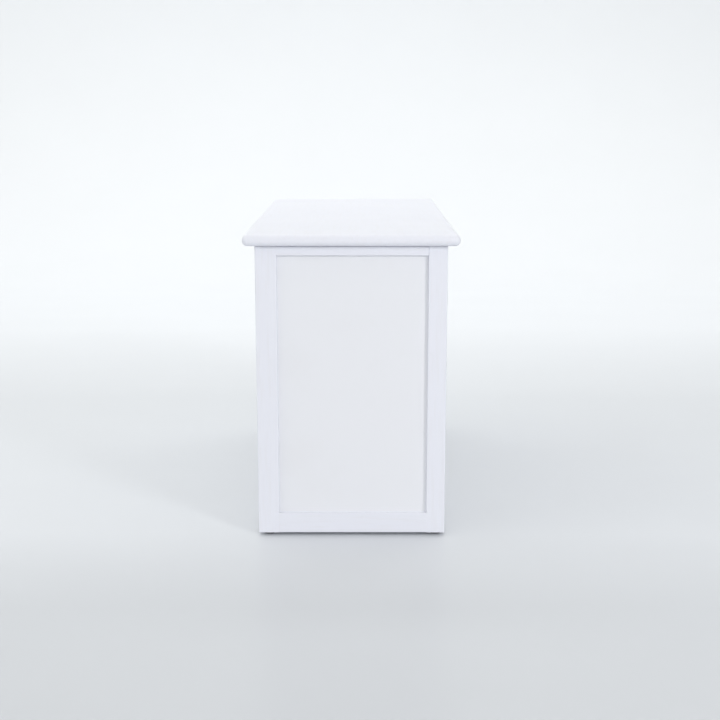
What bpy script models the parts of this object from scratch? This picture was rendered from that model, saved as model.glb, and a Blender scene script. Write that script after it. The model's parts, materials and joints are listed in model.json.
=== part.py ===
"""White wooden toy box: frame-and-panel sides, a hinged lid and two folding lid stays.

X runs along the box's length, the front faces -Y and +Z is up. The origin lies on the floor under the
middle of the lid. Left and right are as seen from the front. All sizes are in metres.
"""

import math

import bmesh
import bpy
from mathutils import Matrix

# Driving sizes
LID_LENGTH = 0.800
LID_DEPTH = 0.350
LID_THICK = 0.0185
TOTAL_HEIGHT = 0.507
OVERHANG = 0.019  # of the lid, beyond the body on every side
LID_GAP = 0.0016  # between the body's top edge and the closed lid
LID_ROUND = 0.0085  # radius of the lid's edges, which makes them almost half round
LID_ROUND_STEPS = 6
GLIDE_HEIGHT = 0.005
FIT = 0.0003  # gap between pieces that touch

# Frame members
POST_WIDTH = 0.034  # along X, as seen from the front
FRONT_POST_DEPTH = 0.035
BACK_POST_DEPTH = 0.031
RAIL_THICK = 0.018
TOP_RAIL_HEIGHT = 0.015
BACK_TOP_RAIL_HEIGHT = 0.045  # taller, because the hinges are screwed to it
BOTTOM_RAIL_HEIGHT = 0.034
CENTRE_STILE_WIDTH = 0.034
EASED_EDGE = 0.0012  # radius, on the long edges of every frame member
EASED_STEPS = 2
CORNER_ROUND = 0.0020  # on the body's four upright corners
CORNER_STEPS = 3

# Panels, which stand in a groove round each frame
RECESS = 0.007  # of a panel's face, behind the frame's face
PANEL_THICK = 0.006
GROOVE_DEPTH = 0.006
GROOVE_SLACK = 0.0005  # between a panel's edge and the bottom of its groove
TENON_SHOULDER = 0.0015

# Bottom board and the two battens that carry it
BATTEN_SIDE = 0.016
BATTEN_TOP = 0.020  # above the body's bottom edge
BOTTOM_THICK = 0.008

# Butt hinges
HINGE_X = 0.250
HINGE_LENGTH = 0.060
KNUCKLES = 5
KNUCKLE_GAP = 0.0006
KNUCKLE_RADIUS = 0.003
PIN_RADIUS = 0.0015
LEAF_THICK = 0.0010
LEAF_WIDTH = 0.022  # from the hinge's axis to the leaf's far edge
LEAF_SETBACK = 0.0036  # of a leaf's plate from the axis, clear of the other leaf's knuckles
LEAF_SCREW_LINE = 0.013  # from the axis
LEAF_SCREW_SPREAD = 0.018  # each screw from the hinge's middle

# Countersunk wood screws
SCREW_HEAD_RADIUS = 0.0034
SCREW_RADIUS = 0.0016
SCREW_LENGTH = 0.014
SCREW_RIM = 0.00025
SCREW_HEAD_HEIGHT = 0.0020
SCREW_TIP = 0.0020
RECESS_ARM = 0.0020  # of the cross recess in a head, from its middle
RECESS_WIDTH = 0.0008
RECESS_DEPTH = 0.0012

# Folding lid stays. The pivots and the elbow form a parallelogram with the lid's hinge, so both arms
# turn through exactly the lid's angle.
STAY_BODY_PIVOT_Y = 0.129
STAY_BODY_PIVOT_DROP = 0.110  # below the lid's axis
STAY_LID_PIVOT_REACH = 0.150  # in front of the lid's axis
STAY_LID_PIVOT_DROP = 0.012
ARM_HALF_WIDTH = 0.0065
ARM_THICK = 0.002
STUD_RADIUS = 0.003
STUD_HEAD_RADIUS = 0.005
STUD_HEAD_HEIGHT = 0.0015
BRACKET_THICK = 0.0015
BOSS_RADIUS = 0.0045
BODY_BRACKET_SCREW_Y = 0.1345
BODY_BRACKET_SCREW_SPREAD = 0.013
BODY_BRACKET_MARGIN = 0.0065
LID_BRACKET_SCREW_SPREAD = 0.0105
LID_BRACKET_LENGTH = 0.034
LID_BRACKET_REACH = 0.018
LID_BRACKET_TAB = 0.016

# Small parts
GLIDE_RADIUS = 0.010
BUMPER_RADIUS = 0.0055

# Places worked out from the sizes above
HALF_LENGTH = LID_LENGTH / 2 - OVERHANG
HALF_DEPTH = LID_DEPTH / 2 - OVERHANG
BODY_BOTTOM = GLIDE_HEIGHT
LID_BOTTOM = TOTAL_HEIGHT - LID_THICK
BODY_TOP = LID_BOTTOM - LID_GAP
AXIS_Y = HALF_DEPTH + FIT + KNUCKLE_RADIUS
AXIS_Z = LID_BOTTOM - FIT - KNUCKLE_RADIUS
POST_INNER_X = HALF_LENGTH - POST_WIDTH
RAIL_INNER_X = HALF_LENGTH - RAIL_THICK
FRONT_POST_INNER_Y = -HALF_DEPTH + FRONT_POST_DEPTH
BACK_POST_INNER_Y = HALF_DEPTH - BACK_POST_DEPTH
ROUND_STEPS = 24
SMALL_ROUND_STEPS = 16  # of pins, screws and knuckles
SIDES = (("left", -1), ("right", 1))


# ---------------------------------------------------------------- scene, materials and object helpers


def clear_scene():
    for obj in list(bpy.data.objects):
        bpy.data.objects.remove(obj, do_unlink=True)


def collection(name):
    made = bpy.data.collections.new(name)
    bpy.context.scene.collection.children.link(made)
    return made


def finish(name, colour, roughness, metallic=0.0):
    material = bpy.data.materials.new(name)
    material.use_nodes = True
    shader = material.node_tree.nodes["Principled BSDF"]
    shader.inputs["Base Color"].default_value = (*colour, 1.0)
    shader.inputs["Roughness"].default_value = roughness
    shader.inputs["Metallic"].default_value = metallic
    return material


clear_scene()
PARTS = collection("toy_box")
CUTTERS = collection("cutters_and_tenons")
WHITE_PAINT = finish("white_paint", (0.86, 0.87, 0.90), 0.45)
ZINC = finish("zinc_plated_steel", (0.62, 0.63, 0.65), 0.35, 1.0)
DARK_PLASTIC = finish("dark_grey_plastic", (0.05, 0.05, 0.055), 0.5)
CLEAR_RUBBER = finish("bumper_rubber", (0.70, 0.71, 0.72), 0.6)


def add(name, data, material, location=(0, 0, 0)):
    """A part of the toy box, or a helper shape when there is no material."""
    obj = bpy.data.objects.new(name, data)
    obj.location = location
    if material:
        data.materials.append(material)
        PARTS.objects.link(obj)
    else:
        obj.hide_render = True
        obj.display_type = "WIRE"
        CUTTERS.objects.link(obj)
    return obj


def use_boolean(obj, tool, operation):
    modifier = obj.modifiers.new(f"{operation.lower()}_{tool.name}", "BOOLEAN")
    modifier.operation = operation
    modifier.object = tool
    modifier.solver = "EXACT"


def cut(obj, tool):
    use_boolean(obj, tool, "DIFFERENCE")


def join(obj, tool):
    use_boolean(obj, tool, "UNION")


def hang_on(axis, *objects):
    """The objects turn with an empty that stands on a joint's axis."""
    for obj in objects:
        obj.parent = axis
        obj.location = obj.location - axis.location


# ---------------------------------------------------------------- basic shapes


def board(name, low, high, material=None, edge=0.0, steps=1):
    """A rectangular piece between two opposite corners, with edges rounded by edge."""
    mesh = bpy.data.meshes.new(name)
    shape = bmesh.new()
    bmesh.ops.create_cube(shape, size=1.0)
    bmesh.ops.scale(shape, vec=[b - a for a, b in zip(low, high)], verts=shape.verts)
    shape.to_mesh(mesh)
    shape.free()
    obj = add(name, mesh, material, [(a + b) / 2 for a, b in zip(low, high)])
    if edge:
        bevel = obj.modifiers.new("rounded_edges", "BEVEL")
        bevel.width = edge
        bevel.segments = steps
        bevel.limit_method = "NONE"
    return obj


def timber(name, low, high, outer_corner=None):
    """A length of wood with square ends and eased long edges.

    outer_corner is the (x, y) sign of the upright edge of a post that is rounded more than the others.
    """
    size = [b - a for a, b in zip(low, high)]
    axis = size.index(max(size))
    obj = board(name, low, high, WHITE_PAINT)
    shape = bmesh.new()
    shape.from_mesh(obj.data)
    eased, rounded = [], []
    for edge in shape.edges:
        ends = [vert.co for vert in edge.verts]
        if abs(ends[0][axis] - ends[1][axis]) < size[axis] / 2:
            continue
        at_corner = outer_corner and all(ends[0][i] * outer_corner[i] > 0 for i in (0, 1))
        (rounded if at_corner else eased).append(edge)
    for edges, radius, steps in (
        (eased, EASED_EDGE, EASED_STEPS),
        (rounded, CORNER_ROUND, CORNER_STEPS),
    ):
        bmesh.ops.bevel(
            shape, geom=edges, offset=radius, segments=steps, profile=0.5, affect="EDGES"
        )
    shape.to_mesh(obj.data)
    shape.free()
    return obj


def rod(name, start, end, radius, material=None):
    """A cylinder along X, from the point start to x = end."""
    length = abs(end - start[0])
    mesh = bpy.data.meshes.new(name)
    shape = bmesh.new()
    bmesh.ops.create_cone(
        shape, cap_ends=True, segments=SMALL_ROUND_STEPS, radius1=radius, radius2=radius, depth=length
    )
    bmesh.ops.rotate(shape, matrix=Matrix.Rotation(math.pi / 2, 3, "Y"), verts=shape.verts)
    shape.to_mesh(mesh)
    shape.free()
    mesh.shade_smooth()
    mesh.set_sharp_from_angle(angle=math.radians(40))
    return add(name, mesh, material, ((start[0] + end) / 2, start[1], start[2]))


def turned(name, profile, material, location, rotation=(0, 0, 0), steps=ROUND_STEPS):
    """A turned shape: profile is (radius, height) pairs from the top, down the outside, to the bottom."""
    mesh = bpy.data.meshes.new(name)
    points = [(radius, 0, height) for radius, height in profile]
    mesh.from_pydata(points, [(i, i + 1) for i in range(len(points) - 1)], [])
    obj = add(name, mesh, material, location)
    obj.rotation_euler = rotation
    screw = obj.modifiers.new("turned", "SCREW")
    screw.steps = steps
    screw.render_steps = steps
    screw.use_merge_vertices = True
    screw.merge_threshold = 0.00001
    screw.use_smooth_shade = True
    return obj


def flat_outline(name, outlines, thickness, material):
    """A flat plate from closed outlines in its XY plane: the first is the rim and the others are holes."""
    curve = bpy.data.curves.new(name, "CURVE")
    curve.dimensions = "2D"
    curve.fill_mode = "BOTH"
    curve.extrude = thickness / 2
    for outline in outlines:
        spline = curve.splines.new("POLY")
        spline.points.add(len(outline) - 1)
        for point, (x, y) in zip(spline.points, outline):
            point.co = (x, y, 0, 1)
        spline.use_cyclic_u = True
    return add(name, curve, material)


def arc(centre_x, radius, start, end, steps):
    """Points of an arc about (centre_x, 0), from angle start to angle end."""
    angles = [start + (end - start) * i / steps for i in range(steps + 1)]
    return [(centre_x + radius * math.cos(a), radius * math.sin(a)) for a in angles]


# ---------------------------------------------------------------- screws


def screw_profile(clearance=0.0):
    """A countersunk screw with its flat head at height 0, or the hole for it when there is a clearance."""
    head = SCREW_HEAD_RADIUS + clearance
    shank = SCREW_RADIUS + clearance
    above = 10 * clearance
    return [
        (0, above),
        (head, above),
        (head, -SCREW_RIM - clearance),
        (shank, -SCREW_HEAD_HEIGHT - clearance),
        (shank, -SCREW_LENGTH + SCREW_TIP - clearance),
        (0, -SCREW_LENGTH - clearance),
    ]


def screw_into(name, location, rotation, *pieces):
    """A screw, and a hole for it through each piece that it passes."""
    hole = turned(f"{name}_hole", screw_profile(FIT), None, location, rotation, SMALL_ROUND_STEPS)
    for piece in pieces:
        cut(piece, hole)
    screw = turned(name, screw_profile(), ZINC, location, rotation, SMALL_ROUND_STEPS)
    half = RECESS_WIDTH / 2
    for axis, (x, y) in (("x", (RECESS_ARM, half)), ("y", (half, RECESS_ARM))):
        slot = board(f"{name}_slot_{axis}", (-x, -y, -RECESS_DEPTH), (x, y, RECESS_DEPTH))
        slot.location = location
        slot.rotation_euler = rotation
        cut(screw, slot)
    return screw


# ---------------------------------------------------------------- the four framed sides


class Side:
    """One side of the body. u runs along it, w goes in from its outer face, and z is up."""

    def __init__(self, along, outward):
        self.along = along
        self.outward = outward

    def corners(self, u_range, w_range, z_range):
        """The low and high corners of the box with these ranges."""
        outer = HALF_DEPTH if self.along == "x" else HALF_LENGTH
        across = sorted(self.outward * (outer - w) for w in w_range)
        spans = (u_range, across, z_range) if self.along == "x" else (across, u_range, z_range)
        return [span[0] for span in spans], [span[1] for span in spans]


FRONT = Side("x", -1)
BACK = Side("x", 1)
LEFT_END = Side("y", -1)
RIGHT_END = Side("y", 1)

GROOVE_W = (RECESS - FIT, RECESS + PANEL_THICK + FIT)
PANEL_W = (RECESS, RECESS + PANEL_THICK)
TENON_LENGTH = GROOVE_DEPTH - GROOVE_SLACK
WELL_PAST = 0.02  # how far a cutter runs past what it cuts


def rail(name, side, u_range, z_range, groove_at_top):
    """A horizontal member with a stub tenon at each end, and a groove for the panel along one edge."""
    u_low, u_high = u_range[0] + FIT, u_range[1] - FIT
    z_low, z_high = z_range
    obj = timber(name, *side.corners((u_low, u_high), (0, RAIL_THICK), z_range))
    tenon_u = (u_range[0] - TENON_LENGTH, u_range[1] + TENON_LENGTH)
    tenon_z = (z_low + TENON_SHOULDER, z_high - TENON_SHOULDER)
    join(obj, board(f"{name}_tenons", *side.corners(tenon_u, PANEL_W, tenon_z)))
    groove_z = (z_high - GROOVE_DEPTH, z_high + WELL_PAST)
    if not groove_at_top:
        groove_z = (z_low - WELL_PAST, z_low + GROOVE_DEPTH)
    groove_u = (u_low - WELL_PAST, u_high + WELL_PAST)
    cut(obj, board(f"{name}_groove", *side.corners(groove_u, GROOVE_W, groove_z)))
    return obj


def centre_stile(name, side, z_range):
    """The upright between two panels, with a groove in both edges and stub tenons into the rails."""
    half = CENTRE_STILE_WIDTH / 2
    z_low, z_high = z_range[0] + FIT, z_range[1] - FIT
    obj = timber(name, *side.corners((-half, half), (0, RAIL_THICK), (z_low, z_high)))
    tenon_u = (-half + TENON_SHOULDER, half - TENON_SHOULDER)
    tenon_z = (z_range[0] - TENON_LENGTH, z_range[1] + TENON_LENGTH)
    join(obj, board(f"{name}_tenons", *side.corners(tenon_u, PANEL_W, tenon_z)))
    groove_z = (z_low - WELL_PAST, z_high + WELL_PAST)
    for edge, u_range in (
        ("left", (-half - WELL_PAST, -half + GROOVE_DEPTH)),
        ("right", (half - GROOVE_DEPTH, half + WELL_PAST)),
    ):
        cut(obj, board(f"{name}_{edge}_groove", *side.corners(u_range, GROOVE_W, groove_z)))


def panel(name, side, u_opening, z_opening):
    """A flat panel that fills an opening and stands in the grooves round it."""
    u_range = (u_opening[0] - TENON_LENGTH, u_opening[1] + TENON_LENGTH)
    z_range = (z_opening[0] - TENON_LENGTH, z_opening[1] + TENON_LENGTH)
    board(name, *side.corners(u_range, PANEL_W, z_range), WHITE_PAINT)


def post(name, end_side, long_side):
    """A corner post, grooved on the two faces that meet the frames."""
    x_low, x_high = sorted(end_side.outward * x for x in (POST_INNER_X, HALF_LENGTH))
    inner_y = BACK_POST_INNER_Y if long_side is BACK else FRONT_POST_INNER_Y
    y_low, y_high = sorted((inner_y, long_side.outward * HALF_DEPTH))
    low = (x_low, y_low, BODY_BOTTOM)
    high = (x_high, y_high, BODY_TOP)
    obj = timber(name, low, high, outer_corner=(end_side.outward, long_side.outward))
    z_range = (BODY_BOTTOM - WELL_PAST, BODY_TOP + WELL_PAST)
    into_end = sorted(
        (inner_y + long_side.outward * GROOVE_DEPTH, inner_y - long_side.outward * WELL_PAST)
    )
    cut(obj, board(f"{name}_end_groove", *end_side.corners(into_end, GROOVE_W, z_range)))
    into_long = sorted(
        end_side.outward * x for x in (POST_INNER_X + GROOVE_DEPTH, POST_INNER_X - WELL_PAST)
    )
    cut(obj, board(f"{name}_long_groove", *long_side.corners(into_long, GROOVE_W, z_range)))
    return obj


def end_frame(label, side):
    u_range = (FRONT_POST_INNER_Y, BACK_POST_INNER_Y)
    top_z = (BODY_TOP - TOP_RAIL_HEIGHT, BODY_TOP)
    bottom_z = (BODY_BOTTOM, BODY_BOTTOM + BOTTOM_RAIL_HEIGHT)
    rail(f"{label}_end_top_rail", side, u_range, top_z, groove_at_top=False)
    rail(f"{label}_end_bottom_rail", side, u_range, bottom_z, groove_at_top=True)
    panel(f"{label}_end_panel", side, u_range, (bottom_z[1], top_z[0]))


def front_frame():
    u_range = (-POST_INNER_X, POST_INNER_X)
    top_z = (BODY_TOP - TOP_RAIL_HEIGHT, BODY_TOP)
    bottom_z = (BODY_BOTTOM, BODY_BOTTOM + BOTTOM_RAIL_HEIGHT)
    opening_z = (bottom_z[1], top_z[0])
    half = CENTRE_STILE_WIDTH / 2
    rail("front_top_rail", FRONT, u_range, top_z, groove_at_top=False)
    rail("front_bottom_rail", FRONT, u_range, bottom_z, groove_at_top=True)
    centre_stile("front_centre_stile", FRONT, opening_z)
    panel("front_left_panel", FRONT, (u_range[0], -half), opening_z)
    panel("front_right_panel", FRONT, (half, u_range[1]), opening_z)


def back_frame():
    u_range = (-POST_INNER_X, POST_INNER_X)
    top_z = (BODY_TOP - BACK_TOP_RAIL_HEIGHT, BODY_TOP)
    bottom_z = (BODY_BOTTOM, BODY_BOTTOM + BOTTOM_RAIL_HEIGHT)
    top_rail = rail("back_top_rail", BACK, u_range, top_z, groove_at_top=False)
    rail("back_bottom_rail", BACK, u_range, bottom_z, groove_at_top=True)
    panel("back_panel", BACK, u_range, (bottom_z[1], top_z[0]))
    return top_rail


# ---------------------------------------------------------------- bottom, feet and bumpers


def battens():
    """The strips inside the long bottom rails that the bottom board lies on."""
    z_range = (BODY_BOTTOM + BATTEN_TOP - BATTEN_SIDE, BODY_BOTTOM + BATTEN_TOP)
    u_range = (-POST_INNER_X + 2 * FIT, POST_INNER_X - 2 * FIT)
    w_range = (RAIL_THICK + FIT, RAIL_THICK + BATTEN_SIDE)
    timber("front_batten", *FRONT.corners(u_range, w_range, z_range))
    timber("back_batten", *BACK.corners(u_range, w_range, z_range))


def bottom_board():
    """Fills the body inside the rails, notched round the four posts."""
    long_x, short_x = RAIL_INNER_X - FIT, POST_INNER_X - FIT
    full_y = HALF_DEPTH - RAIL_THICK - FIT
    front_y, back_y = FRONT_POST_INNER_Y + FIT, BACK_POST_INNER_Y - FIT
    right = [(short_x, -full_y), (short_x, front_y), (long_x, front_y)]
    right += [(long_x, back_y), (short_x, back_y), (short_x, full_y)]
    left = [(-x, y) for x, y in reversed(right)]
    obj = flat_outline("bottom_board", [right + left], BOTTOM_THICK, WHITE_PAINT)
    obj.location.z = BODY_BOTTOM + BATTEN_TOP + FIT + BOTTOM_THICK / 2


def glides_and_bumpers():
    """A plastic glide under each post, and a soft bumper on each front post for the lid to close on."""
    rim = 0.0012
    height = GLIDE_HEIGHT - FIT
    glide = [(0, height), (GLIDE_RADIUS, height), (GLIDE_RADIUS, rim), (GLIDE_RADIUS - rim, 0), (0, 0)]
    thick = LID_GAP - 2 * FIT
    crown = 0.0004
    bumper = [(0, thick), (BUMPER_RADIUS - crown, thick), (BUMPER_RADIUS, thick - crown)]
    bumper += [(BUMPER_RADIUS, 0), (0, 0)]
    front_y = (FRONT_POST_INNER_Y - HALF_DEPTH) / 2
    back_y = (BACK_POST_INNER_Y + HALF_DEPTH) / 2
    for label, sign in SIDES:
        x = sign * (POST_INNER_X + HALF_LENGTH) / 2
        turned(f"front_{label}_glide", glide, DARK_PLASTIC, (x, front_y, 0))
        turned(f"back_{label}_glide", glide, DARK_PLASTIC, (x, back_y, 0))
        turned(f"{label}_bumper", bumper, CLEAR_RUBBER, (x, front_y, BODY_TOP + FIT))


# ---------------------------------------------------------------- lid and hinges


def lid_board():
    low = (-LID_LENGTH / 2, -LID_DEPTH / 2, LID_BOTTOM)
    high = (LID_LENGTH / 2, LID_DEPTH / 2, TOTAL_HEIGHT)
    return board("lid", low, high, WHITE_PAINT, LID_ROUND, LID_ROUND_STEPS)


def knuckle_spans(x_middle, first):
    """The x ranges of every second knuckle, starting from the first or the second."""
    pitch = HINGE_LENGTH / KNUCKLES
    start = x_middle - HINGE_LENGTH / 2
    for i in range(first, KNUCKLES, 2):
        yield start + i * pitch + KNUCKLE_GAP / 2, start + (i + 1) * pitch - KNUCKLE_GAP / 2


def hinge_leaf(name, x_middle, first, plate_corners, neck_corners):
    """A plate with its knuckles. The two corner functions give the plate and the neck to a knuckle."""
    x_range = (x_middle - HINGE_LENGTH / 2, x_middle + HINGE_LENGTH / 2)
    leaf = board(name, *plate_corners(x_range), ZINC)
    for i, (x_low, x_high) in enumerate(knuckle_spans(x_middle, first)):
        join(leaf, board(f"{name}_neck_{i}", *neck_corners((x_low, x_high))))
        join(leaf, rod(f"{name}_knuckle_{i}", (x_low, AXIS_Y, AXIS_Z), x_high, KNUCKLE_RADIUS))
    bore_start = (x_range[0] - WELL_PAST, AXIS_Y, AXIS_Z)
    cut(leaf, rod(f"{name}_bore", bore_start, x_range[1] + WELL_PAST, PIN_RADIUS + FIT))
    return leaf


def hinge(label, sign, top_rail, lid, lid_axis):
    """A butt hinge: one leaf flat on the back of the top rail, the other under the lid."""
    x_middle = sign * HINGE_X
    body_y = (HALF_DEPTH + FIT, HALF_DEPTH + FIT + LEAF_THICK)
    lid_z = (LID_BOTTOM - FIT - LEAF_THICK, LID_BOTTOM - FIT)
    overlap = 0.001

    def body_plate(x_range):
        return (
            (x_range[0], body_y[0], AXIS_Z - LEAF_WIDTH),
            (x_range[1], body_y[1], AXIS_Z - LEAF_SETBACK),
        )

    def body_neck(x_range):
        return (
            (x_range[0], body_y[0], AXIS_Z - LEAF_SETBACK - overlap),
            (x_range[1], body_y[1], AXIS_Z),
        )

    def lid_plate(x_range):
        return (
            (x_range[0], AXIS_Y - LEAF_WIDTH, lid_z[0]),
            (x_range[1], AXIS_Y - LEAF_SETBACK, lid_z[1]),
        )

    def lid_neck(x_range):
        return (
            (x_range[0], AXIS_Y - LEAF_SETBACK - overlap, lid_z[0]),
            (x_range[1], AXIS_Y, lid_z[1]),
        )

    body_leaf = hinge_leaf(f"{label}_hinge_body_leaf", x_middle, 0, body_plate, body_neck)
    lid_leaf = hinge_leaf(f"{label}_hinge_lid_leaf", x_middle, 1, lid_plate, lid_neck)
    pin_start = (x_middle - HINGE_LENGTH / 2, AXIS_Y, AXIS_Z)
    rod(f"{label}_hinge_pin", pin_start, x_middle + HINGE_LENGTH / 2, PIN_RADIUS, ZINC)
    hang_on(lid_axis, lid_leaf)
    for number, spread in ((1, -LEAF_SCREW_SPREAD), (2, LEAF_SCREW_SPREAD)):
        x = x_middle + spread
        body_place = (x, body_y[1], AXIS_Z - LEAF_SCREW_LINE)
        facing_back = (-math.pi / 2, 0, 0)
        screw_into(f"{label}_hinge_body_screw_{number}", body_place, facing_back, body_leaf, top_rail)
        lid_place = (x, AXIS_Y - LEAF_SCREW_LINE, lid_z[0])
        facing_down = (math.pi, 0, 0)
        lid_name = f"{label}_hinge_lid_screw_{number}"
        hang_on(lid_axis, screw_into(lid_name, lid_place, facing_down, lid_leaf, lid))


# ---------------------------------------------------------------- folding lid stays

BODY_PIVOT = (STAY_BODY_PIVOT_Y, AXIS_Z - STAY_BODY_PIVOT_DROP)
LID_PIVOT = (AXIS_Y - STAY_LID_PIVOT_REACH, AXIS_Z - STAY_LID_PIVOT_DROP)
ELBOW = (BODY_PIVOT[0] + LID_PIVOT[0] - AXIS_Y, BODY_PIVOT[1] + LID_PIVOT[1] - AXIS_Z)

# Distances of each layer of a stay from the box's middle, from the post's face inwards
PLATE_OUT = POST_INNER_X - FIT
PLATE_IN = PLATE_OUT - BRACKET_THICK
LOWER_ARM_OUT = PLATE_IN - 2 * FIT - STUD_HEAD_HEIGHT
LOWER_ARM_IN = LOWER_ARM_OUT - ARM_THICK
UPPER_ARM_OUT = LOWER_ARM_IN - FIT
UPPER_ARM_IN = UPPER_ARM_OUT - ARM_THICK


def arm(name, start, end, x_middle):
    """A flat bar from one pivot to the other, with rounded ends and a hole for each stud."""
    length = math.dist(start, end)
    half_turn = math.pi / 2
    rim = arc(length, ARM_HALF_WIDTH, -half_turn, half_turn, ROUND_STEPS // 2)
    rim += arc(0, ARM_HALF_WIDTH, half_turn, 3 * half_turn, ROUND_STEPS // 2)
    hole = arc(0, STUD_RADIUS + FIT, 0, math.tau, SMALL_ROUND_STEPS)[:-1]
    far_hole = [(x + length, y) for x, y in hole]
    obj = flat_outline(name, [rim, hole, far_hole], ARM_THICK, ZINC)
    along_y, along_z = (end[0] - start[0]) / length, (end[1] - start[1]) / length
    turn = Matrix(((0, 0, 1, 0), (along_y, -along_z, 0, 0), (along_z, along_y, 0, 0), (0, 0, 0, 1)))
    obj.matrix_world = Matrix.Translation((x_middle, *start)) @ turn
    return obj


def stud(piece, name, sign, pivot, layers):
    """Joins a stud to a piece. layers are (from, to, radius), as distances from the box's middle."""
    for i, (start, end, radius) in enumerate(layers):
        join(piece, rod(f"{name}_stud_{i}", (sign * start, *pivot), sign * end, radius))


def body_bracket(name, sign):
    """A plate on the back post's inner face, with the stud that the lower arm turns on."""
    y, z = BODY_PIVOT
    x_range = sorted((sign * PLATE_IN, sign * PLATE_OUT))
    y_range = (y - BODY_BRACKET_MARGIN, BODY_BRACKET_SCREW_Y + BODY_BRACKET_MARGIN)
    reach = BODY_BRACKET_SCREW_SPREAD + BODY_BRACKET_MARGIN
    low = (x_range[0], y_range[0], z - reach)
    high = (x_range[1], y_range[1], z + reach)
    plate = board(name, low, high, ZINC)
    inside_plate = (PLATE_IN + PLATE_OUT) / 2
    head_out = LOWER_ARM_IN - FIT
    layers = (
        (inside_plate, LOWER_ARM_OUT + FIT, BOSS_RADIUS),
        (inside_plate, head_out - STUD_HEAD_HEIGHT / 2, STUD_RADIUS),
        (head_out, head_out - STUD_HEAD_HEIGHT, STUD_HEAD_RADIUS),
    )
    stud(plate, name, sign, BODY_PIVOT, layers)
    return plate


def lid_bracket(name, sign):
    """An angle under the lid: a flange for the screws and a tab with the stud for the upper arm."""
    y, z = LID_PIVOT
    tab_in = LOWER_ARM_IN
    tab_out = tab_in + BRACKET_THICK
    top = LID_BOTTOM - FIT
    flange_x = sorted((sign * tab_in, sign * (tab_in + LID_BRACKET_REACH)))
    half_length, half_tab = LID_BRACKET_LENGTH / 2, LID_BRACKET_TAB / 2
    flange_low = (flange_x[0], y - half_length, top - BRACKET_THICK)
    flange = board(name, flange_low, (flange_x[1], y + half_length, top), ZINC)
    tab_x = sorted((sign * tab_in, sign * tab_out))
    tab_low = (tab_x[0], y - half_tab, z - half_tab)
    tab_high = (tab_x[1], y + half_tab, top - BRACKET_THICK / 2)
    join(flange, board(f"{name}_tab", tab_low, tab_high))
    inside_tab = (tab_in + tab_out) / 2
    head_out = UPPER_ARM_IN - FIT
    layers = (
        (inside_tab, head_out - STUD_HEAD_HEIGHT / 2, STUD_RADIUS),
        (head_out, head_out - STUD_HEAD_HEIGHT, STUD_HEAD_RADIUS),
    )
    stud(flange, name, sign, LID_PIVOT, layers)
    return flange


def elbow_rivet(name, sign):
    """The rivet that joins the two arms, as one turned piece with a head at each end."""
    length = LOWER_ARM_OUT - UPPER_ARM_IN + 2 * FIT
    head = STUD_HEAD_HEIGHT
    crown = 0.0005
    half = [(0, head), (STUD_HEAD_RADIUS - crown, head), (STUD_HEAD_RADIUS, head - crown)]
    half += [(STUD_HEAD_RADIUS, 0), (STUD_RADIUS, 0)]
    profile = half + [(radius, -length - height) for radius, height in reversed(half)]
    place = (sign * (LOWER_ARM_OUT + FIT), *ELBOW)
    return turned(name, profile, ZINC, place, (0, sign * math.pi / 2, 0), SMALL_ROUND_STEPS)


def stay(label, sign, back_post, lid, lid_axis):
    body_plate = body_bracket(f"{label}_stay_body_bracket", sign)
    lid_angle = lid_bracket(f"{label}_stay_lid_bracket", sign)
    hang_on(lid_axis, lid_angle)
    lower_x = sign * (LOWER_ARM_OUT + LOWER_ARM_IN) / 2
    upper_x = sign * (UPPER_ARM_OUT + UPPER_ARM_IN) / 2
    arm(f"{label}_stay_lower_arm", BODY_PIVOT, ELBOW, lower_x)
    arm(f"{label}_stay_upper_arm", ELBOW, LID_PIVOT, upper_x)
    elbow_rivet(f"{label}_stay_elbow_rivet", sign)
    facing_in = (0, -sign * math.pi / 2, 0)
    facing_down = (math.pi, 0, 0)
    lid_screw_x = sign * (LOWER_ARM_IN + (BRACKET_THICK + LID_BRACKET_REACH) / 2)
    for number, step in ((1, -1), (2, 1)):
        z = BODY_PIVOT[1] + step * BODY_BRACKET_SCREW_SPREAD
        body_place = (sign * PLATE_IN, BODY_BRACKET_SCREW_Y, z)
        body_name = f"{label}_stay_body_screw_{number}"
        screw_into(body_name, body_place, facing_in, body_plate, back_post)
        y = LID_PIVOT[0] + step * LID_BRACKET_SCREW_SPREAD
        lid_place = (lid_screw_x, y, LID_BOTTOM - FIT - BRACKET_THICK)
        lid_name = f"{label}_stay_lid_screw_{number}"
        hang_on(lid_axis, screw_into(lid_name, lid_place, facing_down, lid_angle, lid))


# ---------------------------------------------------------------- the whole box


def toy_box():
    back_posts = {}
    for label, end_side in (("left", LEFT_END), ("right", RIGHT_END)):
        post(f"front_{label}_post", end_side, FRONT)
        back_posts[label] = post(f"back_{label}_post", end_side, BACK)
        end_frame(label, end_side)
    front_frame()
    back_top_rail = back_frame()
    battens()
    bottom_board()
    glides_and_bumpers()
    lid_axis = bpy.data.objects.new("lid_axis", None)
    lid_axis.location = (0, AXIS_Y, AXIS_Z)
    PARTS.objects.link(lid_axis)
    lid = lid_board()
    for label, sign in SIDES:
        hinge(label, sign, back_top_rail, lid, lid_axis)
        stay(label, sign, back_posts[label], lid, lid_axis)
    hang_on(lid_axis, lid)


toy_box()
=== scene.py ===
"""The looks of the white wooden toy box: paint, zinc fittings, a pale studio and a camera."""

import json
import math

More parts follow.
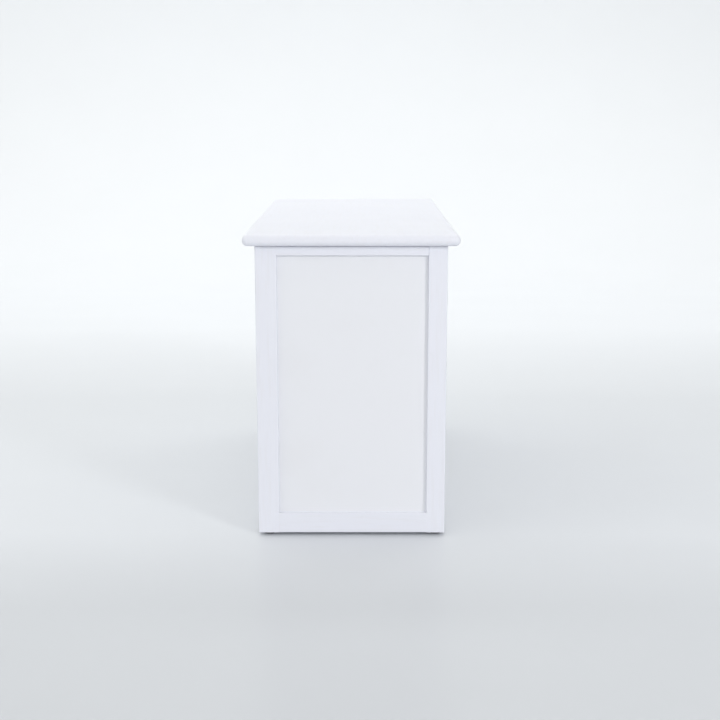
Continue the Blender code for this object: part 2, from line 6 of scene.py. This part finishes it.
import bmesh
import bpy
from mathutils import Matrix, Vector


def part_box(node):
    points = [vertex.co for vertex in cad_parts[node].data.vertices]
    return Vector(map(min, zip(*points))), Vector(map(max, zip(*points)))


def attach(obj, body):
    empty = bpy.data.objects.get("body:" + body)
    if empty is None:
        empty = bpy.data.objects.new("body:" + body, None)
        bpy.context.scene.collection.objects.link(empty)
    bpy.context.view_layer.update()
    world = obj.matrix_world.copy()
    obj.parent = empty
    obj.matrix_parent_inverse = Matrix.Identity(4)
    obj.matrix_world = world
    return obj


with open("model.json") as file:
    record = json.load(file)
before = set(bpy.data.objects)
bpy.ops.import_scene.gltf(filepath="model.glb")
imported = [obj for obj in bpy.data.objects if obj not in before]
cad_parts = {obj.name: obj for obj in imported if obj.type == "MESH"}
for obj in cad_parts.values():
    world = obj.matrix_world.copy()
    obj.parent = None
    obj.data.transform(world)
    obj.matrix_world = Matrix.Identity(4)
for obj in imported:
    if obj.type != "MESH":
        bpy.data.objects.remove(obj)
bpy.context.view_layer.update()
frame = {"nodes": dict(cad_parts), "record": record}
NODES = frame["nodes"]

# ---------------------------------------------------------------- camera, facing the right-hand end

CAMERA_DISTANCE = 2.060  # from the body's end face
CAMERA_HEIGHT = 0.7075  # above the body's underside
CAMERA_SIDE = 0.014  # towards the back, from the body's middle
CAMERA_PITCH = math.radians(11.305)  # below the horizon
CAMERA_LENS = 64.2
CAMERA_REACH = 60
SENSOR = 36.0


def camera():
    post_low, post_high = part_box("front_right_post")
    data = bpy.data.cameras.new("camera")
    data.lens = CAMERA_LENS
    data.sensor_width = SENSOR
    data.clip_end = CAMERA_REACH
    obj = bpy.data.objects.new("camera", data)
    obj.location = (post_high.x + CAMERA_DISTANCE, CAMERA_SIDE, post_low.z + CAMERA_HEIGHT)
    obj.rotation_euler = (math.pi / 2 - CAMERA_PITCH, 0, math.pi / 2)
    bpy.context.scene.collection.objects.link(obj)
    bpy.context.scene.camera = obj


# ---------------------------------------------------------------- node helpers

MIX_FIRST, MIX_SECOND, MIX_RESULT = 6, 7, 2  # a Mix node's colour sockets, whose names repeat


class Shader:
    """A material with a Principled BSDF, and short ways to add and join nodes."""

    def __init__(self, name):
        self.material = bpy.data.materials.new(name)
        self.material.use_nodes = True
        self.tree = self.material.node_tree
        self.principled = self.tree.nodes["Principled BSDF"]
        self.coords = self.add("ShaderNodeTexCoord").outputs["Object"]

    def add(self, kind, **settings):
        node = self.tree.nodes.new(kind)
        for key, value in settings.items():
            setattr(node, key, value)
        return node

    def link(self, output, target):
        self.tree.links.new(output, target)

    def set(self, **inputs):
        """Constants on the Principled BSDF, named with _ for each space."""
        for key, value in inputs.items():
            self.principled.inputs[key.replace("_", " ")].default_value = value

    def stretched(self, scale):
        """Object coordinates scaled unequally: a texture runs along the smallest scale's axis."""
        mapping = self.add("ShaderNodeMapping")
        mapping.inputs["Scale"].default_value = scale
        self.link(self.coords, mapping.inputs["Vector"])
        return mapping.outputs["Vector"]

    def noise(self, vector, scale, detail, roughness=0.55):
        """A noise texture. Every ..._NOISE below is its scale, detail and sometimes roughness."""
        node = self.add("ShaderNodeTexNoise")
        node.inputs["Scale"].default_value = scale
        node.inputs["Detail"].default_value = detail
        node.inputs["Roughness"].default_value = roughness
        self.link(vector, node.inputs["Vector"])
        return node.outputs["Fac"]

    def spread(self, value, low, high, start=0.3, end=0.7):
        """The value, from start to end, mapped to low to high."""
        node = self.add("ShaderNodeMapRange")
        node.inputs["From Min"].default_value = start
        node.inputs["From Max"].default_value = end
        node.inputs["To Min"].default_value = low
        node.inputs["To Max"].default_value = high
        self.link(value, node.inputs["Value"])
        return node.outputs["Result"]

    def larger(self, first, second):
        node = self.add("ShaderNodeMath", operation="MAXIMUM")
        self.link(first, node.inputs[0])
        self.link(second, node.inputs[1])
        return node.outputs[0]

    def size_of(self, value):
        """The value without its sign."""
        node = self.add("ShaderNodeMath", operation="ABSOLUTE")
        self.link(value, node.inputs[0])
        return node.outputs[0]

    def colours(self, value, stops):
        """A colour ramp. stops are (position, colour)."""
        node = self.add("ShaderNodeValToRGB")
        ramp = node.color_ramp
        while len(ramp.elements) < len(stops):
            ramp.elements.new(0.5)
        for element, (position, colour) in zip(ramp.elements, stops):
            element.position = position
            element.color = (*colour, 1.0)
        self.link(value, node.inputs["Fac"])
        return node.outputs["Color"]

    def blend(self, factor, output, colour):
        """The output where factor is 0, and the plain colour where it is 1."""
        node = self.add("ShaderNodeMix", data_type="RGBA")
        self.link(factor, node.inputs[0])
        self.link(output, node.inputs[MIX_FIRST])
        node.inputs[MIX_SECOND].default_value = (*colour, 1.0)
        return node.outputs[MIX_RESULT]

    def multiply(self, first, second):
        node = self.add("ShaderNodeMix", data_type="RGBA", blend_type="MULTIPLY")
        node.inputs[0].default_value = 1.0
        self.link(first, node.inputs[MIX_FIRST])
        self.link(second, node.inputs[MIX_SECOND])
        return node.outputs[MIX_RESULT]

    def bump(self, height, distance, strength, under=None):
        """A normal from height. under is the normal of a coarser texture below it.

        Every ..._RELIEF below is its distance in metres and its strength.
        """
        node = self.add("ShaderNodeBump")
        node.inputs["Distance"].default_value = distance
        node.inputs["Strength"].default_value = strength
        self.link(height, node.inputs["Height"])
        if under is not None:
            self.link(under, node.inputs["Normal"])
        return node.outputs["Normal"]

    def finish(self, colour, roughness, normal=None):
        self.link(colour, self.principled.inputs["Base Color"])
        self.link(roughness, self.principled.inputs["Roughness"])
        if normal is not None:
            self.link(normal, self.principled.inputs["Normal"])
        return self.material


# ---------------------------------------------------------------- paint

FRAME_WHITE = (0.820, 0.832, 0.898)
FRAME_WHITE_THIN = (0.804, 0.812, 0.868)  # where the coat is thin
PANEL_WHITE = (0.824, 0.834, 0.870)
PANEL_WHITE_THIN = (0.812, 0.820, 0.852)
THIN_AT = 0.30  # in the noise that varies the colour
FULL_AT = 0.52
PAINT_ROUGHNESS = (0.36, 0.48)
PAINT_SPECULAR = 0.45
COAT_WEIGHT = 0.12
COAT_ROUGHNESS = 0.28
CLOUD_NOISE = (9.0, 4.0)  # slow changes in colour and gloss
GRAIN_NOISE = (14.0, 5.0, 0.6)
GRAIN_STRETCH = 14  # how much longer than wide a grain mark is
GRAIN_RANGE = (0.35, 0.65)
GRAIN_RELIEF = (0.00012, 0.5)
STIPPLE_NOISE = (650.0, 2.0)
STIPPLE_RELIEF = (0.00005, 0.45)
AXIS_NAMES = "xyz"


def paint(name, white, thin, axis=None):
    """Satin paint: a roller's stipple and, on solid wood, soft grain that runs along an axis."""
    shader = Shader(name)
    shader.set(Metallic=0.0, Specular_IOR_Level=PAINT_SPECULAR)
    shader.set(Coat_Weight=COAT_WEIGHT, Coat_Roughness=COAT_ROUGHNESS)
    cloud = shader.noise(shader.coords, *CLOUD_NOISE)
    mark = cloud
    normal = None
    if axis is not None:
        scale = [GRAIN_STRETCH, GRAIN_STRETCH, GRAIN_STRETCH]
        scale[axis] = 1
        mark = shader.noise(shader.stretched(scale), *GRAIN_NOISE)
        normal = shader.bump(shader.spread(mark, 0, 1, *GRAIN_RANGE), *GRAIN_RELIEF)
    colour = shader.colours(mark, ((THIN_AT, thin), (FULL_AT, white)))
    stipple = shader.noise(shader.coords, *STIPPLE_NOISE)
    normal = shader.bump(stipple, *STIPPLE_RELIEF, normal)
    return shader.finish(colour, shader.spread(cloud, *PAINT_ROUGHNESS), normal)


PAINTS = {}


def frame_paint(node):
    """Paint whose grain runs along the node's longest side."""
    low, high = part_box(node)
    size = high - low
    axis = list(size).index(max(size))
    if axis not in PAINTS:
        name = f"frame_paint_{AXIS_NAMES[axis]}"
        PAINTS[axis] = paint(name, FRAME_WHITE, FRAME_WHITE_THIN, axis)
    return PAINTS[axis]


# ---------------------------------------------------------------- metal, plastic and rubber

SPANGLE_NOISE = (260.0, 3.0)
SCRATCH_NOISE = (8.0, 4.0)
SCRATCH_STRETCH = (60, 60, 900)
SCRATCH_RELIEF = (0.00003, 0.4)
ZINC_ROUGHNESS = (0.26, 0.42)
MOTTLE_NOISE = (420.0, 3.0)
MOTTLE_RELIEF = (0.00006, 0.5)
MOTTLE_ROUGHNESS = 0.06  # more or less than the material's own
DARK_AT = 0.35  # in the noise that varies the colour
PALE_AT = 0.65


def zinc(name, colour, dark):
    """Zinc plated steel: a faint spangle, fine scratches and a satin gloss."""
    shader = Shader(name)
    shader.set(Metallic=1.0)
    spangle = shader.noise(shader.coords, *SPANGLE_NOISE)
    scratches = shader.noise(shader.stretched(SCRATCH_STRETCH), *SCRATCH_NOISE)
    tone = shader.colours(spangle, ((DARK_AT, dark), (PALE_AT, colour)))
    roughness = shader.spread(scratches, *ZINC_ROUGHNESS)
    normal = shader.bump(scratches, *SCRATCH_RELIEF)
    return shader.finish(tone, roughness, normal)


def moulded(name, colour, pale, roughness):
    """Plastic or rubber with a fine moulded texture."""
    shader = Shader(name)
    mottle = shader.noise(shader.coords, *MOTTLE_NOISE)
    tone = shader.colours(mottle, ((DARK_AT, colour), (PALE_AT, pale)))
    low, high = roughness - MOTTLE_ROUGHNESS, roughness + MOTTLE_ROUGHNESS
    normal = shader.bump(mottle, *MOTTLE_RELIEF)
    return shader.finish(tone, shader.spread(mottle, low, high), normal)


PLATE_ZINC = {"colour": (0.66, 0.67, 0.69), "dark": (0.58, 0.59, 0.61)}
SCREW_ZINC = {"colour": (0.60, 0.61, 0.62), "dark": (0.50, 0.51, 0.53)}
GREY = {"colour": (0.110, 0.112, 0.120), "pale": (0.135, 0.137, 0.145), "roughness": 0.5}
MILKY = {"colour": (0.66, 0.67, 0.68), "pale": (0.74, 0.75, 0.76), "roughness": 0.45}
BY_SLOT = {
    "panel_paint": paint("panel_paint", PANEL_WHITE, PANEL_WHITE_THIN),
    "zinc_steel": zinc("zinc_plate", **PLATE_ZINC),
    "fastener_steel": zinc("screw_zinc", **SCREW_ZINC),
    "dark_plastic": moulded("glide_plastic", **GREY),
    "soft_bumper": moulded("bumper_rubber", **MILKY),
}
JOINT_PAINT = paint("joint_paint", FRAME_WHITE, FRAME_WHITE_THIN)


# ---------------------------------------------------------------- CAD nodes: finish and soft edges

SOFT_EDGE = {"frame_paint": 0.0003, "panel_paint": 0.0003, "zinc_steel": 0.00015}
SOFT_EDGE_STEPS = 2
UNSOFTENED = "_leaf"  # its knuckles' facets are too short for a rounded edge
SHARP_ANGLE = math.radians(32)
FLAT_ANGLE = math.radians(0.5)  # facets that meet at less than this are one face
WELD = 0.00001


def smooth_by_angle():
    """A node group that shades a mesh smooth, except across edges sharper than SHARP_ANGLE."""
    group = bpy.data.node_groups.new("smooth_by_angle", "GeometryNodeTree")
    group.interface.new_socket("Geometry", in_out="INPUT", socket_type="NodeSocketGeometry")
    group.interface.new_socket("Geometry", in_out="OUTPUT", socket_type="NodeSocketGeometry")
    entry = group.nodes.new("NodeGroupInput")
    leave = group.nodes.new("NodeGroupOutput")
    faces = group.nodes.new("GeometryNodeSetShadeSmooth")
    edges = group.nodes.new("GeometryNodeSetShadeSmooth")
    edges.domain = "EDGE"
    angle = group.nodes.new("GeometryNodeInputMeshEdgeAngle")
    flat = group.nodes.new("FunctionNodeCompare")
    flat.operation = "LESS_THAN"
    flat.inputs[1].default_value = SHARP_ANGLE
    group.links.new(angle.outputs["Unsigned Angle"], flat.inputs[0])
    group.links.new(entry.outputs[0], faces.inputs["Geometry"])
    group.links.new(faces.outputs["Geometry"], edges.inputs["Geometry"])
    group.links.new(flat.outputs["Result"], edges.inputs["Shade Smooth"])
    group.links.new(edges.outputs["Geometry"], leave.inputs[0])
    return group


SMOOTH = smooth_by_angle()


def soften(obj, width):
    """Welds the facets, rounds the hard edges a little and shades the rest smooth."""
    weld = obj.modifiers.new("weld", "WELD")
    weld.merge_threshold = WELD
    planar = obj.modifiers.new("planar", "DECIMATE")
    planar.decimate_type = "DISSOLVE"
    planar.angle_limit = FLAT_ANGLE
    if width:
        bevel = obj.modifiers.new("soft_edges", "BEVEL")
        bevel.width = width
        bevel.segments = SOFT_EDGE_STEPS
        bevel.limit_method = "ANGLE"
        bevel.angle_limit = SHARP_ANGLE
    smooth = obj.modifiers.new("smooth", "NODES")
    smooth.node_group = SMOOTH
    normals = obj.modifiers.new("normals", "WEIGHTED_NORMAL")
    normals.keep_sharp = True


def dress_nodes():
    slots = {part["node"]: part["material_slot"] for part in frame["record"]["subparts"]}
    for name, obj in NODES.items():
        slot = slots[name]
        finish = frame_paint(name) if slot == "frame_paint" else BY_SLOT[slot]
        for material_slot in obj.material_slots:
            material_slot.material = finish
        soften(obj, 0 if name.endswith(UNSOFTENED) else SOFT_EDGE.get(slot, 0))


# ---------------------------------------------------------------- paint in the frames' joints

EASED_EDGE = 0.0012  # radius of the frame members' long edges
JOINT_GAP = 0.0003  # between the square end of one member and the other's edge
BEAD_LAP = 0.0004  # how far a bead goes into the wood on both sides
BEAD_THICK = 0.0012
BEAD_SKIN = 0.00003  # from the face down to a bead's rim, and from a member's edge to a bead's end
CLOSED_DIP = 0.00012  # of a joint that the paint has all but hidden
OPEN_DIP = 0.00115  # of a joint that still shows as a fine line
BEAD_COLUMNS = 9
ROUND_ROWS = 5
FILLET = 0.0006  # of the paint between a panel and its frame
FILLET_SUNK = 0.0002
FILLET_STEPS = 5
X, Y, Z = Vector((1, 0, 0)), Vector((0, 1, 0)), Vector((0, 0, 1))


def quarter_turn(steps):
    return [math.pi / 2 * i / (steps - 1) for i in range(steps)]


def painted(name, shape):
    """An object of joint paint, from a bmesh."""
    mesh = bpy.data.meshes.new(name)
    bmesh.ops.recalc_face_normals(shape, faces=shape.faces)
    shape.to_mesh(mesh)
    shape.free()
    mesh.shade_smooth()
    mesh.set_sharp_from_angle(angle=SHARP_ANGLE)
    mesh.materials.append(JOINT_PAINT)
    obj = bpy.data.objects.new(name, mesh)
    bpy.context.scene.collection.objects.link(obj)
    return obj


def bead(shape, corner, across, along, inward, length, dip):
    """Paint that levels the groove where one member's square end meets another's eased edge.

    corner is on the frame's face, at one end of the joint. across points from the square end to
    the eased edge, along runs down the joint, and inward goes into the wood.
    """
    start, end = -JOINT_GAP - BEAD_LAP, EASED_EDGE + BEAD_LAP
    rows = []
    for angle in quarter_turn(ROUND_ROWS):
        distance = BEAD_SKIN + EASED_EDGE * (1 - math.cos(angle))
        rows.append((distance, EASED_EDGE * (1 - math.sin(angle))))
    rows += [(length - distance, depth) for distance, depth in reversed(rows)]
    grid = []
    for distance, depth in rows:
        line = []
        for i in range(BEAD_COLUMNS):
            t = i / (BEAD_COLUMNS - 1)
            hollow = dip * 4 * t * (1 - t)  # a parabola, 0 at both rims and dip in the middle
            sunk = BEAD_SKIN + depth + hollow
            place = across * (start + (end - start) * t) + along * distance + inward * sunk
            line.append(shape.verts.new(corner + place))
        grid.append(line)
    faces = []
    for near, far in zip(grid, grid[1:]):
        for i in range(BEAD_COLUMNS - 1):
            faces.append(shape.faces.new((near[i], near[i + 1], far[i + 1], far[i])))
    made = bmesh.ops.extrude_face_region(shape, geom=faces)
    lower = [item for item in made["geom"] if isinstance(item, bmesh.types.BMVert)]
    bmesh.ops.translate(shape, verts=lower, vec=inward * BEAD_THICK)


def joint_paint(name, joints):
    """One piece of paint in several joints, each with the values that bead() takes."""
    shape = bmesh.new()
    for joint in joints:
        bead(shape, *joint)
    obj = painted(name, shape)
    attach(obj, "root")


def rail_joints(rail, along_x, outward, posts):
    """The two joints of a rail. posts are the names of the posts at its low and high end."""
    low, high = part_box(rail)
    run = X if along_x else Y
    out = (Y if along_x else X) * outward
    joints = []
    for post, direction in zip(posts, (-1, 1)):
        post_low, post_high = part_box(post)
        inner = post_high if direction < 0 else post_low
        face = post_high if outward > 0 else post_low
        x, y = (inner.x, face.y) if along_x else (face.x, inner.y)
        opened = "top" in rail and "back" in post
        dip = OPEN_DIP if opened else CLOSED_DIP
        joints.append((Vector((x, y, low.z)), run * direction, Z, -out, high.z - low.z, dip))
    return joints


def centre_joints():
    """The joints of the front's centre stile with the two rails."""
    low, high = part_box("front_centre_stile")
    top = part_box("front_top_rail")[0].z
    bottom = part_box("front_bottom_rail")[1].z
    width = high.x - low.x
    return [
        (Vector((low.x, low.y, top)), Z, X, Y, width, CLOSED_DIP),
        (Vector((low.x, low.y, bottom)), -Z, X, Y, width, CLOSED_DIP),
    ]


def paint_joints():
    for label, outward in (("left", -1), ("right", 1)):
        posts = (f"front_{label}_post", f"back_{label}_post")
        joints = []
        for level in ("top", "bottom"):
            joints += rail_joints(f"{label}_end_{level}_rail", False, outward, posts)
        joint_paint(f"{label}_end_joint_paint", joints)
    for label, outward in (("front", -1), ("back", 1)):
        posts = (f"{label}_left_post", f"{label}_right_post")
        joints = []
        for level in ("top", "bottom"):
            joints += rail_joints(f"{label}_{level}_rail", True, outward, posts)
        if label == "front":
            joints += centre_joints()
        joint_paint(f"{label}_joint_paint", joints)


def panel_bead(name, panel, run, out, opening):
    """A fillet of paint in the corner between a panel and the frame round it.

    run and out are unit vectors along the frame and out of it, and opening is (low, high), two
    opposite corners of the frame's opening.
    """
    low, high = opening
    panel_low, panel_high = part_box(panel)
    face = panel_high if sum(out) > 0 else panel_low
    base = low + out * (face - low).dot(out)
    length, height = (high - low).dot(run), high.z - low.z
    profile = []
    for angle in quarter_turn(FILLET_STEPS):
        profile.append((FILLET * (1 - math.cos(angle)), FILLET * (1 - math.sin(angle))))
    profile += [(FILLET, -FILLET_SUNK), (-FILLET_SUNK, -FILLET_SUNK), (-FILLET_SUNK, FILLET)]
    shape = bmesh.new()
    rings = []
    for inset, proud in profile:
        corners = [(inset, inset), (length - inset, inset)]
        corners += [(length - inset, height - inset), (inset, height - inset)]
        places = [base + run * u + Z * v + out * proud for u, v in corners]
        rings.append([shape.verts.new(place) for place in places])
    for ring, next_ring in zip(rings, rings[1:] + rings[:1]):
        for i in range(4):
            j = (i + 1) % 4
            shape.faces.new((ring[i], ring[j], next_ring[j], next_ring[i]))
    obj = painted(name, shape)
    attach(obj, "root")


def bead_panels():
    """Paint round the outer face of every panel, in each frame's opening."""
    for label, outward in (("left", -1), ("right", 1)):
        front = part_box(f"front_{label}_post")
        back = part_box(f"back_{label}_post")
        x = front[1].x if outward > 0 else front[0].x
        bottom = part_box(f"{label}_end_bottom_rail")[1].z
        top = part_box(f"{label}_end_top_rail")[0].z
        opening = (Vector((x, front[1].y, bottom)), Vector((x, back[0].y, top)))
        panel_bead(f"{label}_end_panel_bead", f"{label}_end_panel", Y, X * outward, opening)
    for label, outward in (("front", -1), ("back", 1)):
        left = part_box(f"{label}_left_post")
        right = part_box(f"{label}_right_post")
        y = left[1].y if outward > 0 else left[0].y
        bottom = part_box(f"{label}_bottom_rail")[1].z
        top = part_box(f"{label}_top_rail")[0].z
        spans = {f"{label}_panel": (left[1].x, right[0].x)}
        if label == "front":
            stile_low, stile_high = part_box("front_centre_stile")
            spans = {
                "front_left_panel": (left[1].x, stile_low.x),
                "front_right_panel": (stile_high.x, right[0].x),
            }
        for panel, (start, end) in spans.items():
            opening = (Vector((start, y, bottom)), Vector((end, y, top)))
            panel_bead(f"{panel}_bead", panel, X, Y * outward, opening)


# ---------------------------------------------------------------- studio: floor and wall

FLOOR_PAINTED_LIGHT = (  # painted light and shade along X, from FLOOR_NEAR_X to FLOOR_FAR_X: darker towards the camera, a lighter band at the foot of the box's end that lifts its shadow, and lighter towards the wall
    (0.00, (0.580, 0.600, 0.627)),
    (0.11, (0.615, 0.636, 0.664)),
    (0.18, (0.715, 0.738, 0.769)),
    (0.40, (0.668, 0.690, 0.716)),
    (0.62, (0.768, 0.790, 0.816)),
    (1.00, (0.765, 0.785, 0.805)),
)
FLOOR_NEAR_X = 1.2
FLOOR_FAR_X = -3.4
FLOOR_FAR_PAINTED_LIGHT = (0.93, 0.94, 0.95)  # painted light: a paler floor past OUTER_X or OUTER_Y, far from the box where the lamps leave it dim
OUTER_X = (4.5, 7.5)
OUTER_Y = (3.4, 6.0)
FLOOR_SPECULAR = 0.5
FLOOR_ROUGHNESS = (0.28, 0.75)  # the first up to GLOSS_END_X, and the second past MATT_X
GLOSS_END_X = -0.8
MATT_X = -2.6
STREAK_STRETCH = (2.0, 1.0, 1.0)
STREAK_NOISE = (3.0, 4.0, 0.5)
STREAK_TONES = ((0.25, (0.988, 0.988, 0.988)), (0.75, (1.0, 1.0, 1.0)))
FLOOR_HALF_WIDTH = 30.0
FLOOR_FRONT = 30.0
COVE_START = -2.4
COVE_RADIUS = 1.2
COVE_HEIGHT = 4.5
COVE_STEPS = 24


def floor_material():
    """Painted studio floor: satin and faintly streaked near the box, and matt by the wall. Its
    colour carries painted light and shade: darker towards the camera, lighter at the foot of the
    box's end and towards the wall, and lighter still far out.
    """
    shader = Shader("studio_floor")
    shader.set(Specular_IOR_Level=FLOOR_SPECULAR)
    split = shader.add("ShaderNodeSeparateXYZ")
    shader.link(shader.coords, split.inputs["Vector"])
    x, y = split.outputs["X"], split.outputs["Y"]
    # painted light and shade along X: darker towards the camera, a lighter band that lifts the
    # box's shadow in front of its end, lighter towards the wall
    tone = shader.colours(shader.spread(x, 0, 1, FLOOR_NEAR_X, FLOOR_FAR_X), FLOOR_PAINTED_LIGHT)
    streaks = shader.noise(shader.stretched(STREAK_STRETCH), *STREAK_NOISE)
    near = shader.multiply(tone, shader.colours(streaks, STREAK_TONES))
    # painted light: the floor is made paler far out, past OUTER_X or OUTER_Y
    ahead = shader.spread(x, 0, 1, *OUTER_X)
    aside = shader.spread(shader.size_of(y), 0, 1, *OUTER_Y)
    colour = shader.blend(shader.larger(ahead, aside), near, FLOOR_FAR_PAINTED_LIGHT)
    roughness = shader.spread(x, *FLOOR_ROUGHNESS, GLOSS_END_X, MATT_X)
    return shader.finish(colour, roughness)


def backdrop():
    """A pale floor that curves up into a wall, far behind the box as the camera sees it."""
    profile = [(FLOOR_FRONT, 0.0), (COVE_START, 0.0)]
    for i in range(1, COVE_STEPS + 1):
        angle = math.pi / 2 * i / COVE_STEPS
        x = COVE_START - COVE_RADIUS * math.sin(angle)
        profile.append((x, COVE_RADIUS * (1 - math.cos(angle))))
    profile.append((profile[-1][0], COVE_HEIGHT))
    mesh = bpy.data.meshes.new("backdrop")
    shape = bmesh.new()
    rows = [
        [shape.verts.new((x, side * FLOOR_HALF_WIDTH, z)) for x, z in profile] for side in (1, -1)
    ]
    for i in range(len(profile) - 1):
        shape.faces.new((rows[0][i], rows[0][i + 1], rows[1][i + 1], rows[1][i]))
    shape.to_mesh(mesh)
    shape.free()
    mesh.shade_smooth()
    mesh.materials.append(floor_material())
    obj = bpy.data.objects.new("backdrop", mesh)
    bpy.context.scene.collection.objects.link(obj)


# ---------------------------------------------------------------- studio: lights

WORLD_COLOUR = (0.985, 0.992, 1.0, 1.0)
WORLD_STRENGTH = 0.485
WHITE = (1.0, 1.0, 1.0)
WARM = (1.0, 0.992, 0.928)
END = (0.4, 0.0, 0.27)  # the middle of the end that the camera sees
FOOT = (0.0, 0.0, 0.1)
SOFTBOXES = (  # name, place, target, size, power in watts and colour
    ("key_right", (2.9, 2.2, 1.45), END, (0.7, 0.7), 37.5, WHITE),
    ("fill_left", (2.6, -2.6, 1.6), END, (2.6, 2.0), 18.5, WHITE),
    ("fill_front", (6.0, 0.3, 1.7), END, (3.4, 2.2), 21, WHITE),
    ("front_low", (5.4, 0.0, 0.7), END, (4.2, 1.1), 14.5, WHITE),
    ("overhead_front", (1.6, 0.0, 3.0), (1.0, 0.0, 0.0), (2.4, 2.4), 6, WARM),
    ("left_side", (0.2, -3.0, 2.7), (0.0, -0.3, 0.1), (2.2, 2.0), 25, WARM),
    ("left_back", (-2.0, -2.8, 2.9), FOOT, (2.6, 2.2), 18.5, WARM),
    ("right_back", (-2.0, 2.8, 2.9), FOOT, (2.6, 2.2), 21.5, WARM),
    ("wall_wash", (-2.0, 0.0, 3.8), (-3.6, 0.0, 0.9), (5.0, 1.4), 70, WHITE),
)


def softbox(name, place, target, size, power, colour):
    data = bpy.data.lights.new(name, "AREA")
    data.shape = "RECTANGLE"
    data.size, data.size_y = size
    data.energy = power
    data.color = colour
    obj = bpy.data.objects.new(name, data)
    obj.location = place
    obj.rotation_euler = (Vector(target) - Vector(place)).to_track_quat("-Z", "Y").to_euler()
    bpy.context.scene.collection.objects.link(obj)


def studio():
    backdrop()
    world = bpy.data.worlds.new("studio")
    world.use_nodes = True
    background = world.node_tree.nodes["Background"]
    background.inputs["Color"].default_value = WORLD_COLOUR
    background.inputs["Strength"].default_value = WORLD_STRENGTH
    bpy.context.scene.world = world
    bpy.context.scene.view_settings.view_transform = "Standard"
    for settings in SOFTBOXES:
        softbox(*settings)


camera()
dress_nodes()
paint_joints()
bead_panels()
studio()
